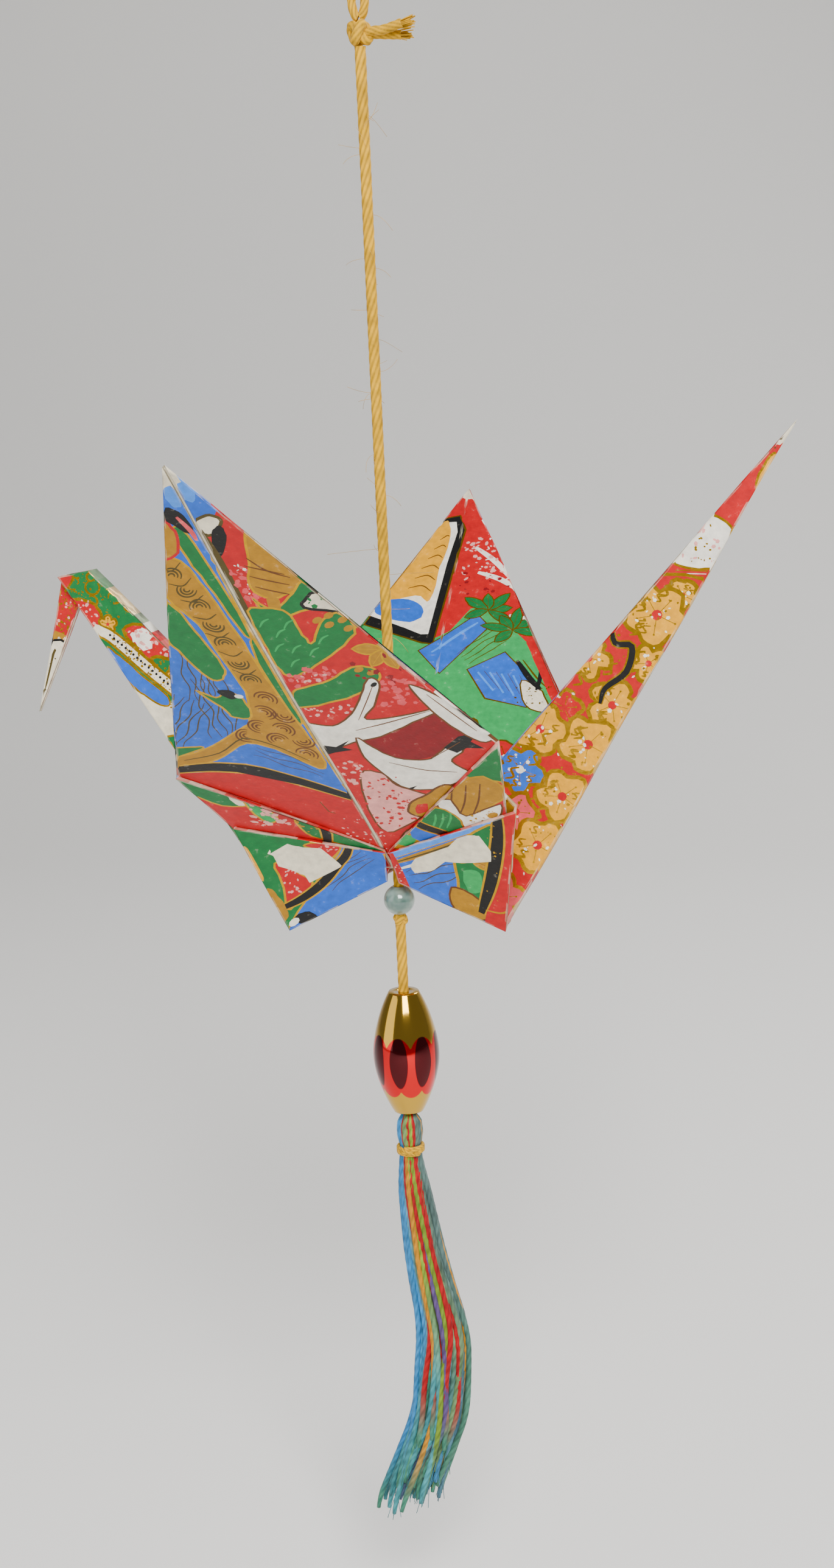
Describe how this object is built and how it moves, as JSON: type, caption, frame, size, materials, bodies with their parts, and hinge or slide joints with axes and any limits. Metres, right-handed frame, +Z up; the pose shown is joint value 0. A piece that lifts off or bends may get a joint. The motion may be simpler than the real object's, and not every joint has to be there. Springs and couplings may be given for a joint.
{
  "type": "origami crane hanging ornament",
  "caption": "Folded paper crane of patterned washi on a yellow cord, with a green bead, an oval red and gold bead and a floss tassel.",
  "frame": {"origin": "top of the hanging loop; everything hangs below it", "axes": "+Z up along the cord, -X towards the head, +X towards the tail, -Y towards the near wing"},
  "size_m": [0.0961, 0.1145, 0.1972],
  "materials": {
    "washi": "satin",
    "cord": "matte",
    "jade_glass": "polished",
    "red_gold_glass": "polished",
    "floss": "matte"
  },
  "bodies": {
    "root": {"crane": "washi", "cord_main": "cord", "hang_loop": "cord", "top_knot": "cord", "stop_knot": "cord", "bead_jade": "jade_glass", "bead_oval": "red_gold_glass", "tassel_head": "floss", "tassel_binding": "cord", "tassel_skirt": "floss"}
  },
  "joints": []
}
